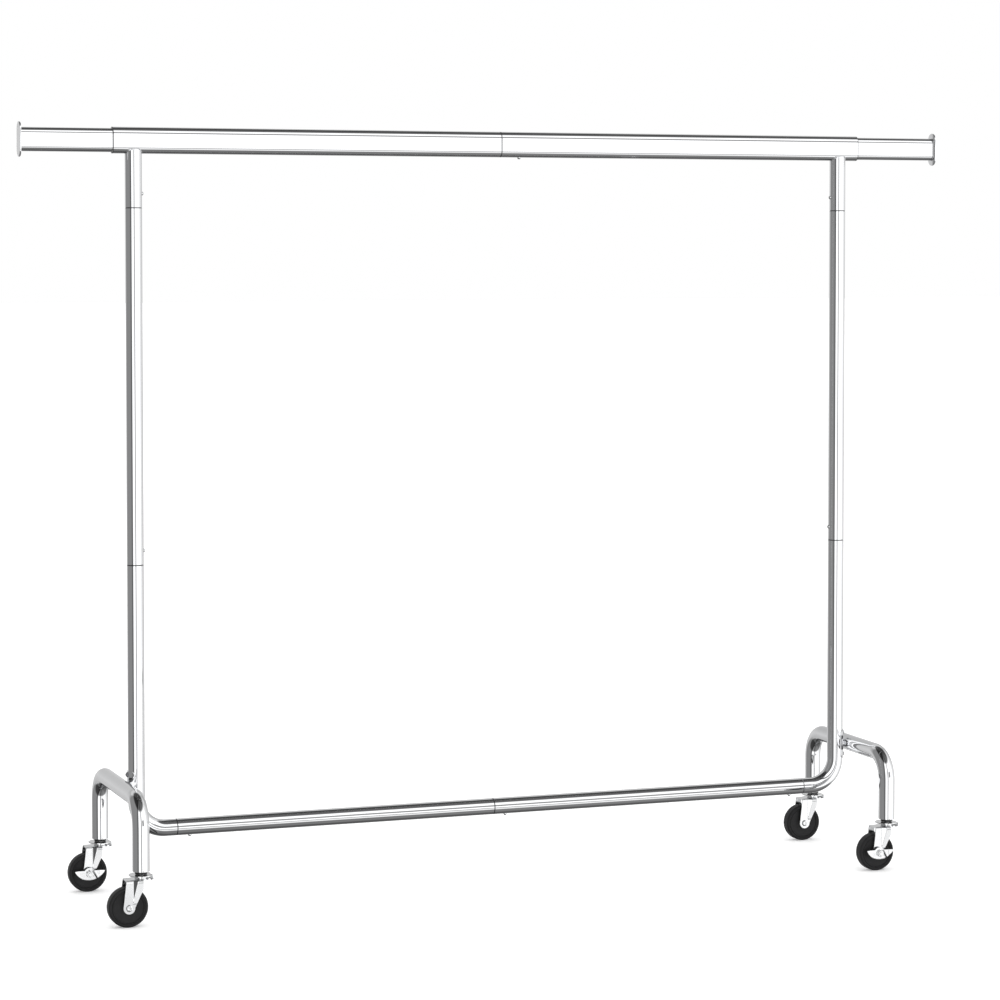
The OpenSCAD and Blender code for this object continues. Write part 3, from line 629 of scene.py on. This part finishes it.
saddle_wall, saddle_tall, saddle_angle, saddle_corner = 1.5, 58.0, 130.0, 8.0
saddle_rows, saddle_halves = 60, 24
arc_half, arc_halves, bead_off = 9.0, 12, 0.5
half_arc = math.radians(saddle_angle / 2) * saddle_r
for side, facing in outwards.items():
    rows = []
    for k in range(saddle_rows + 1):
        level = -saddle_tall / 2 * math.cos(math.pi * k / saddle_rows)
        past = max(0.0, abs(level) - (saddle_tall / 2 - saddle_corner))
        half = half_arc - saddle_corner + math.sqrt(max(0.0, saddle_corner ** 2 - past ** 2))
        turns = (half * (j / saddle_halves - 1) / saddle_r for j in range(2 * saddle_halves + 1))
        rows.append([(post_x[side] + facing * saddle_r * math.cos(turn),
                      saddle_r * math.sin(turn), leg_z + level) for turn in turns])
    skin = shape(*net(rows))
    if sum(face.normal.x * facing for face in skin.polygons) < 0:
        skin.flip_normals()
    saddle = piece("saddle_bracket_" + side, skin, plate_chrome, wall=saddle_wall, edge=0.3)
    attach(saddle, "root")
    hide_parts("leg_bracket_" + side)
    # The leg touches the saddle along two short arcs, above and below its own axis
    arcs = []
    for up in (-1, 1):
        arc = []
        for k in range(-arc_halves, arc_halves + 1):
            y = k * arc_half / arc_halves
            x = facing * math.sqrt(saddle_r ** 2 - y ** 2)
            drop = tube_r ** 2 - (leg_x[side] - post_x[side] - x) ** 2
            arc.append((post_x[side] + x, y, leg_z + up * (math.sqrt(max(0.0, drop)) + bead_off)))
        arcs.append(arc)
    weld("saddle_weld_" + side, arcs, 1.6, "root")


def circle(r, z, turns):
    """A ring of points round Z at these turns."""
    return [(r * math.cos(turn), r * math.sin(turn), z) for turn in turns]


def hexagon(r, z, turns, limit=None):
    """A ring of six flats, its corners cut back to a round of this radius as a nut's are."""
    made = []
    for turn in turns:
        wedge = (turn + math.pi / 6) % (math.pi / 3) - math.pi / 6
        reach = min(r * math.cos(math.pi / 6) / math.cos(wedge), limit or r)
        made += circle(reach, z, (turn,))
    return made


def turned(outline, count=64):
    """Points and faces of an outline of (radius, height) turned round Z. Its ends lie on the axis,
    or it closes on itself."""
    loops = [circle(r, z, [math.tau * k / count for k in range(count)]) for r, z in outline]
    on_axis = outline[0][0] == 0
    return rings(loops + ([] if on_axis else loops[:1]), closed_ends=False)


def eased(outline, radius, steps=4):
    """An outline with all but its two end corners rounded to about this radius."""
    made = [outline[0]]
    most = 0.45
    for before, corner, after in zip(outline, outline[1:], outline[2:]):
        corner = Vector(corner)
        back, on = Vector(before) - corner, Vector(after) - corner
        cut = min(radius, back.length * most, on.length * most)
        start, stop = corner + back.normalized() * cut, corner + on.normalized() * cut
        for k in range(steps + 1):
            t = k / steps
            made.append(tuple(start * (1 - t) ** 2 + corner * (2 * t * (1 - t)) + stop * t ** 2))
    return made + [outline[-1]]


bolt_steel, tree, place, fixed = finish("bolt_steel", Metallic=1.0)
turning = grains(tree, place, (120, 900, 900), 2.0)
smear = grains(tree, place, (60, 60, 60), 3.0)
coat(tree, fixed, Base_Color=tree.tint(smear, (0.52, 0.53, 0.55, 1), (0.70, 0.71, 0.72, 1)),
     Roughness=smear * 0.12 + turning * 0.05 + 0.16, Normal=raised(tree, turning, 0.000006))

# One bolt, its head's seat at the origin: shank, dome and hexagon socket. Heights run along Z.
bolt_d, head_r, head_tall, bolt_long, socket_r, socket_deep = 6.0, 5.2, 3.6, 14.0, 2.1, 2.0
rim_tall, dome_steps, around_bolt = 0.4, 8, 48
dome_tall = head_tall - rim_tall
dome_r = (head_r ** 2 + dome_tall ** 2) / (2 * dome_tall)
turns = [math.tau * (k + 0.5) / around_bolt for k in range(around_bolt)]
loops = [circle(r, z, turns) for r, z in (
    (bolt_d / 2 - 0.6, -bolt_long), (bolt_d / 2, -bolt_long + 0.6), (bolt_d / 2, -0.01),
    (head_r - 0.25, 0), (head_r, 0.25), (head_r, 0.5))]
for k in range(1, dome_steps + 1):
    r = head_r + (socket_r * 1.15 - head_r) * k / dome_steps
    loops.append(circle(r, head_tall - dome_r + math.sqrt(dome_r ** 2 - r ** 2), turns))
loops += [hexagon(socket_r, head_tall - deep, turns) for deep in (0.25, socket_deep)]
points, faces = rings(loops)
# Stand the bolt along X, its head outwards
bolt = shape([(z, x, y) for x, y, z in points], faces)
bolt_rule = Rule("four_bolts", {"post": "Float", "low": "Float", "spacing": "Float"})
row = bolt_rule.put("GeometryNodeMeshLine", None, {
    "Count": 2,
    "Start Location": bolt_rule.put("ShaderNodeCombineXYZ", None,
                                    {"X": bolt_rule.size("post"), "Z": bolt_rule.size("low")}),
    "Offset": bolt_rule.put("ShaderNodeCombineXYZ", None, {"Z": bolt_rule.size("spacing")})})
pair = bolt_rule.put("GeometryNodeInstanceOnPoints", None,
                     {"Points": row, "Instance": bolt_rule.size("Geometry")})
other = bolt_rule.put("GeometryNodeTransform", None,
                      {"Geometry": pair, "Rotation": (0, 0, math.pi)})
bolt_rule.end(bolt_rule.put("GeometryNodeJoinGeometry", None, {"Geometry": [pair, other]}),
              bolt_steel)
bolt_spacing = 44.0
bolts = bolt_rule.run("bracket_bolt_set", bolt, post=(post_x["right"] + saddle_r) * MM,
                      low=(leg_z - bolt_spacing / 2) * MM, spacing=bolt_spacing * MM)
bolts.data.set_sharp_from_angle(angle=math.radians(30))
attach(bolts, "root")
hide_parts("bracket_bolts")

# ---- Caster sockets and stems --------------------------------------------------------
# A black plastic socket is pressed into each leg's end and shows as a short collar. The
# caster's plated stem is pushed up into it and ends in the plate that rests on the balls.

corners = ("front_left", "rear_left", "front_right", "rear_right")
# Each caster's swivel axis, where it leaves the leg's end
swivel = {name: Vector((*middle("socket_" + name).xy, tube_end)) for name in corners}


def placed(skin, spot):
    """A copy of a caster's skin, moved from the swivel axis at the origin to this point."""
    copy = skin.copy()
    copy.transform(Matrix.Translation(spot * MM))
    return copy


black_plastic, tree, place, fixed = finish("moulded_black_plastic")
mould = grains(tree, place, (700, 700, 700), 3.0)
coat(tree, fixed, Base_Color=tree.tint(mould, (0.008, 0.008, 0.009, 1), (0.022, 0.022, 0.023, 1)),
     Roughness=mould * 0.15 + 0.32, Normal=raised(tree, mould, 0.00002))
stem_zinc = bright_zinc("bright_zinc_turned", (60, 60, 500))

# Outlines turned round the swivel axis: distance from it, and height above the leg's end
plug_r, collar_r, bore_r, stem_r = 14.75, 11.4, 5.6, 5.5
collar = shape(*turned(eased([
    (6.0, -4.9), (collar_r, -5.0), (collar_r, -0.15), (plug_r, -0.1), (plug_r, 39.2),
    (plug_r - 0.8, 40), (bore_r, 40), (bore_r, -4.5)], 0.5)))
race_r, pin_r = 10.6, 5.0
stem = shape(*turned([(0, -15.5), *eased([
    (4.2, -15.5), (pin_r, -14.9), (pin_r, -9.6), (race_r, -9.6), (race_r, -8.2),
    (stem_r, -8.2), (stem_r, 34.8), (stem_r - 1.2, 36)], 0.3), (0, 36)]))
for name in corners:
    cup = piece("socket_collar_" + name, placed(collar, swivel[name]), black_plastic)
    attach(cup, "root")
    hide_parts("socket_" + name)
    pin = piece("caster_stem_" + name, placed(stem, swivel[name]), stem_zinc)
    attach(pin, "root")
    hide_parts("stem_" + name)

# ---- Swivel bearing balls ------------------------------------------------------------
# Fourteen ground steel balls run in a ring between each stem's plate and its fork, so
# that the caster swivels freely. They are packed loose when the caster is closed.

ball_r, ring_r, ball_drop, ball_count = 1.25, 8.6, -10.9, 14
ball_form = bmesh.new()
bmesh.ops.create_icosphere(ball_form, subdivisions=2, radius=ball_r * MM)
ball = bpy.data.meshes.new("ball")
ball_form.to_mesh(ball)
ball_form.free()
ball_rule = Rule("ball_rings", {"ring": "Float", "count": "Int", "apart_x": "Float",
                                "apart_y": "Float", "level": "Float"})
ring = ball_rule.put("GeometryNodeMeshCircle", None, {
    "Vertices": ball_rule.size("count"), "Radius": ball_rule.size("ring")})
ring = ball_rule.put("GeometryNodeInstanceOnPoints", None,
                     {"Points": ring, "Instance": ball_rule.size("Geometry")})
ends = ball_rule.put("GeometryNodeMeshGrid", None, {
    "Size X": ball_rule.size("apart_x"), "Size Y": ball_rule.size("apart_y"),
    "Vertices X": 2, "Vertices Y": 2})
four = ball_rule.put("GeometryNodeInstanceOnPoints", None, {"Points": ends, "Instance": ring})
four = ball_rule.put("GeometryNodeTransform", None, {"Geometry": four, "Translation": ball_rule.put(
    "ShaderNodeCombineXYZ", None, {"Z": ball_rule.size("level")})})
ball_rule.end(four, bolt_steel)
balls = ball_rule.run("swivel_balls", ball, ring=ring_r * MM, count=ball_count,
                      apart_x=2 * swivel["rear_right"].x * MM,
                      apart_y=2 * swivel["rear_right"].y * MM, level=(tube_end + ball_drop) * MM)
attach(balls, "root")
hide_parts("bearing_balls")

# ---- Forks ---------------------------------------------------------------------------
# Each fork is stamped from 2 mm sheet: a top plate with a round nose, two cheeks that
# step outwards in front of the axle, a raised hub over the balls, and a thin cover
# whose front edge curls down. All of it is zinc plated.

# Sizes from the swivel axis and the leg's end, in millimetres
hinges = {row["name"]: row for row in frame["record"]["behaviour"]["joints"]}
axle = Vector(hinges["front_left_roll"]["pos_m"]) / MM - swivel["front_left"]
axle = Vector((round(axle.x, 3), 0, round(axle.z, 3)))
sheet_wall, plate_top, plate_back, nose_r, nose_half = 2.0, -13.5, -31.0, 14.0, 18.0
cheek_out, fold_r, cheek_end_r, cheek_front = 16.5, 3.0, 11.0, 16.5
# The step in each cheek: where it starts, how wide and steep it is, how softly its two edges
# turn, and how far above the axle and below the plate it runs out
step_from, step_wide, step_slope, step_soft, step_low, step_high = -18.8, 8.5, 0.613, 0.8, 8, 4


def cheek_offset(x, z=plate_top):
    """How far out the cheek's outer face lies: a softened step that runs out above the axle."""
    low, high = axle.z + step_low, plate_top - step_high
    left = min(1.0, max(0.0, (z - low) / (high - low)))
    spread = [min(step_wide * left, max(0.0, x + step_soft * k / 2 - step_from))
              for k in (-2, -1, 0, 1, 2)]
    return cheek_out + step_slope * sum(spread) / len(spread)


def cheek_reach(z):
    """The cheek's back and front edges at this height."""
    if z < axle.z:
        half = math.sqrt(max(0.0, cheek_end_r ** 2 - (z - axle.z) ** 2))
        return axle.x - half, axle.x + half
    share = (z - axle.z) / (plate_top - axle.z)
    back = axle.x - cheek_end_r + share * (plate_back - axle.x + cheek_end_r)
    share = min(1.0, (z - axle.z) / (plate_top - cheek_front - axle.z))
    return back, (1 - share) * (axle.x + cheek_end_r)


def fork_line(kind, share):
    """One line of the fork from back to front: its reach along X, and Y and Z at each X."""
    if kind == "plate":
        nose = math.sqrt(max(0.0, nose_r ** 2 - (share * nose_half) ** 2))
        return (plate_back, nose), lambda x: (share * (cheek_offset(min(x, 0)) - fold_r), plate_top)
    if kind == "fold":
        turn = share * math.pi / 2
        return (plate_back, 0.0), lambda x: (cheek_offset(x) - fold_r * (1 - math.sin(turn)),
                                             plate_top - fold_r * (1 - math.cos(turn)))
    z = plate_top - fold_r + share * (axle.z - cheek_end_r - plate_top + fold_r)
    return cheek_reach(z), lambda x: (cheek_offset(x, z), z)


plate_lines, fold_lines, cheek_lines = 14, 6, 44
lines = [("plate", k / plate_lines) for k in range(plate_lines + 1)]
lines += [("fold", k / fold_lines) for k in range(1, fold_lines + 1)]
lines += [("cheek", math.sin(math.pi / 2 * k / cheek_lines)) for k in range(1, cheek_lines + 1)]
# Half a millimetre apart, and one just behind the line where the plate's nose begins
stations = sorted({x / 2 for x in range(-76, 29)} | {-0.001})
half_rows = []
for kind, share in lines:
    (back, front), at = fork_line(kind, share)
    half_rows.append([(x, *at(x)) for x in (min(max(s, back), front) for s in stations)])
rows = [[(x, -y, z) for x, y, z in row] for row in half_rows[:0:-1]] + half_rows
fork_skin = shape(*net(rows))
if max(fork_skin.polygons, key=lambda f: f.center.z).normal.z < 0:
    fork_skin.flip_normals()

hub_bore = 10.9
hub = shape(*turned(eased([
    (hub_bore, -12.5), (hub_bore, -7.0), (12.0, -6.2), (12.5, -7.2), (12.5, -11.8),
    (13.6, -13.6), (hub_bore, -13.6), (hub_bore, -12.6)], 0.6)))

# The cover: flat to the lip, and from there its rim curls down round the front, within
# lip_wide degrees of it and fading out over lip_blend more
cover_r, cover_top, lip_r, lip_wide, lip_blend = 23.0, -6.0, 5.0, 27.0, 7.0
lip_from, lip_steps, cover_steps, barely = cover_r - lip_r, 12, 144, 0.02
cover_rows = []
for k in range(cover_steps):
    degrees = 360 * k / cover_steps - (360 if k > cover_steps / 2 else 0)
    turn = math.radians(degrees)
    curl = min(1.0, max(0.0, (lip_wide + lip_blend - abs(degrees)) / lip_blend))
    curl = curl * curl * (3 - 2 * curl)
    lip_long = lip_r + curl * (math.pi - 1) * lip_r
    profile = [(r, 0.0) for r in (5.8, 9, 12, 15, lip_from)]
    for j in range(1, lip_steps + 1):
        run = j / lip_steps * lip_long
        if curl < barely:
            profile.append((lip_from + run, 0.0))
        else:
            bend_at = lip_long / (curl * math.pi)
            profile.append((lip_from + bend_at * math.sin(run / bend_at),
                            -bend_at * (1 - math.cos(run / bend_at))))
    cover_rows.append([(r * math.cos(turn), r * math.sin(turn), cover_top + z)
                       for r, z in profile])
cover_skin = shape(*net(cover_rows, closed=True))
if cover_skin.polygons[0].normal.z < 0:
    cover_skin.flip_normals()


def joined(name, parts):
    """One piece from several that are fixed together."""
    body = bmesh.new()
    for part in parts:
        body.from_mesh(part.data)
    whole = bpy.data.meshes.new(name)
    body.to_mesh(whole)
    body.free()
    for part in parts:
        bpy.data.objects.remove(part)
    return whole


fork_zinc = bright_zinc("bright_zinc_stamped", (260, 260, 30))
fork_whole = joined("fork", [piece("sheet", fork_skin, fork_zinc, wall=sheet_wall, edge=0.35),
                             piece("hub", hub, fork_zinc),
                             piece("cover", cover_skin, fork_zinc, wall=1.6, edge=0.3)])
for name in corners:
    fork = piece("caster_fork_" + name, placed(fork_whole, swivel[name]), fork_zinc)
    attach(fork, "caster_" + name)
    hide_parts("fork_" + name)

# ---- Axles, spacer tubes and wheels --------------------------------------------------
# A plated bolt with a dished round head clamps the fork on a steel spacer tube, and the
# moulded rubber wheel turns on the tube. On a braked caster its nut faces the front.

braked = ("rear_left", "front_right")
cheek_face, boss_tall, lever_wall, play = 16.5, 4.5, 1.5, 0.3
nut_r, nut_tall, shank_r, around_axle = 7.2, 5.6, 4.0, 48


def across_y(points, faces, facing=-1):
    """Turns a shape made along Z so that its top faces the rack's front (-1) or back (1)."""
    return [(-x * facing, z * facing, y) for x, y, z in points], faces


def axle_bolt(room):
    """The bolt along Z: head below, nut above, with room for a lever between cheek and nut."""
    outline = [(0, -19.0), (1.6, -19.05), (2.6, -19.3), (3.3, -19.5), *eased([
        (4.4, -19.4), (5.4, -18.9), (6.4, -17.3), (6.6, -16.5), (shank_r, -16.4),
        (shank_r, cheek_face)], 0.4)]
    seat = cheek_face + room
    top = seat + nut_tall
    turns = [math.tau * k / around_axle for k in range(around_axle)]
    loops = [circle(r, z, turns) for r, z in outline]
    loops += [hexagon(nut_r, z, turns, nut_r * cut) for z, cut in (
        (seat, 0.84), (seat + 1.0, 1.0), (top - 1.2, 1.0), (top, 0.82))]
    loops += [circle(r, z, turns) for r, z in (
        (shank_r + 0.1, top), (shank_r, top - 0.3), (shank_r, top + 0.5),
        (shank_r - 0.5, top + 1.0), (0, top + 1.0))]
    return rings(loops, closed_ends=False)


rubber, tree, place, fixed = finish("moulded_black_rubber", Specular_IOR_Level=0.26)
fine = grains(tree, place, (900, 900, 900), 4.0)
dust = grains(tree, place, (70, 70, 70), 5.0)
coat(tree, fixed, Base_Color=tree.tint(dust, (0.008, 0.008, 0.0085, 1), (0.022, 0.022, 0.023, 1)),
     Roughness=dust * 0.18 + fine * 0.08 + 0.34, Normal=raised(tree, fine, 0.00004))

# Half the wheel's outline from bore to tread: distance from the axle, and half its width
wheel_r = 37.5
half_wheel = eased([
    (6.1, 13.4), (6.5, 13.7), (8.4, 13.7), (9.0, 13.0), (9.4, 9.8), (12, 9.2), (21, 9.4),
    (27.6, 9.8), (28.6, 10.0), (29.2, 11.9), (30.6, 12.0), (31.0, 10.9), (32.0, 10.9),
    (32.4, 12.0), (33.5, 12.0), (35.4, 11.5), (36.8, 10.0), (37.4, 8.0), (wheel_r, 5.0)], 0.5, 3)
whole_wheel = half_wheel + [(wheel_r, 0.0)] + [(r, -z) for r, z in half_wheel[::-1]]
wheel_skin = shape(*across_y(*turned(whole_wheel, 96)))
for name in corners:
    room_for_lever = boss_tall + lever_wall + 2 * play if name in braked else 0.0
    skin = shape(*across_y(*axle_bolt(room_for_lever), -1 if name in braked else 1))
    bolt = piece("caster_axle_" + name, placed(skin, swivel[name] + axle), stem_zinc, crease=28)
    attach(bolt, "caster_" + name)
    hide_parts("axle_" + name)
    tyre = piece("rubber_wheel_" + name, placed(wheel_skin, swivel[name] + axle), rubber)
    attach(tyre, "wheel_" + name)
    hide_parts("wheel_" + name)
refinish(bolt_steel, *("wheel_bush_" + name for name in corners))

# ---- Brake levers --------------------------------------------------------------------
# A boat-shaped steel rocker with two turned-out toe tips and a pressed rib, zinc plated.
# It hangs on the axle bolt in front of the fork, held off the cheek by a short boss.

lever_half, toe_from, toe_turn = 28.9, 19.6, math.tan(math.radians(20))
eye_r, top_edge, boss_r, boss_bore = 12.0, 6.6, 6.0, 4.2
# The rib: its place and lean, its height and two flanks, its half length and its run-out
rib_at, rib_lean, rib_tall, rib_back, rib_front = 11.5, 0.55, 2.8, 3.6, 2.2
rib_half, rib_fade = 9.5, 2.5
lever_face = cheek_face + boss_tall + play
lever_steps, lever_rows = 116, 24
# The lower edge: how far it is along from the axle, and how high
hull = ((0, -12), (8, -11.2), (14, -9.2), (19, -6.3), (24, -1.6), (27, 2.0), (lever_half, 5.0))


def lever_edges(x):
    """The lever's lower and upper edges at this distance from the axle."""
    far = min(abs(x), lever_half)
    (x0, z0), (x1, z1) = next(pair for pair in zip(hull, hull[1:]) if far <= pair[1][0])
    upper = max(top_edge, math.sqrt(max(0.0, eye_r ** 2 - x * x)))
    return z0 + (z1 - z0) * (far - x0) / (x1 - x0), upper


rows = []
for k in range(lever_steps + 1):
    x = -lever_half + 2 * lever_half * k / lever_steps
    low, high = lever_edges(x)
    row = []
    for j in range(lever_rows + 1):
        z = low + (high - low) * j / lever_rows
        from_rib = x - rib_at + rib_lean * z
        rise = rib_tall * max(0.0, min(1 + from_rib / rib_back, 1 - from_rib / rib_front))
        rise *= min(1.0, max(0.0, (rib_half - abs(z + 1)) / rib_fade))
        rise += max(0.0, abs(x) - toe_from) * toe_turn
        row.append((x, -(lever_face + lever_wall) - rise, z))
    rows.append(row)
lever_skin = shape(*net(rows))
if lever_skin.polygons[0].normal.y > 0:
    lever_skin.flip_normals()
boss_low, boss_high = cheek_face + play, lever_face + 0.1
boss = shape(*across_y(*turned(eased([
    (boss_bore, boss_low), (boss_r, boss_low), (boss_r, boss_high), (boss_bore, boss_high),
    (boss_bore, boss_low + 0.1)], 0.3))))
lever_whole = joined("lever", [
    piece("rocker", lever_skin, pressed_zinc, wall=lever_wall, edge=0.3),
    piece("boss", boss, pressed_zinc)])
for name in braked:
    lever = piece("brake_rocker_" + name, placed(lever_whole, swivel[name] + axle), pressed_zinc)
    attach(lever, "lever_" + name)
    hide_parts("brake_lever_" + name)

low, high = cad_box
new_low, new_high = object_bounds()
{"cad": [list(low), list(high)], "visual": [list(new_low), list(new_high)]}
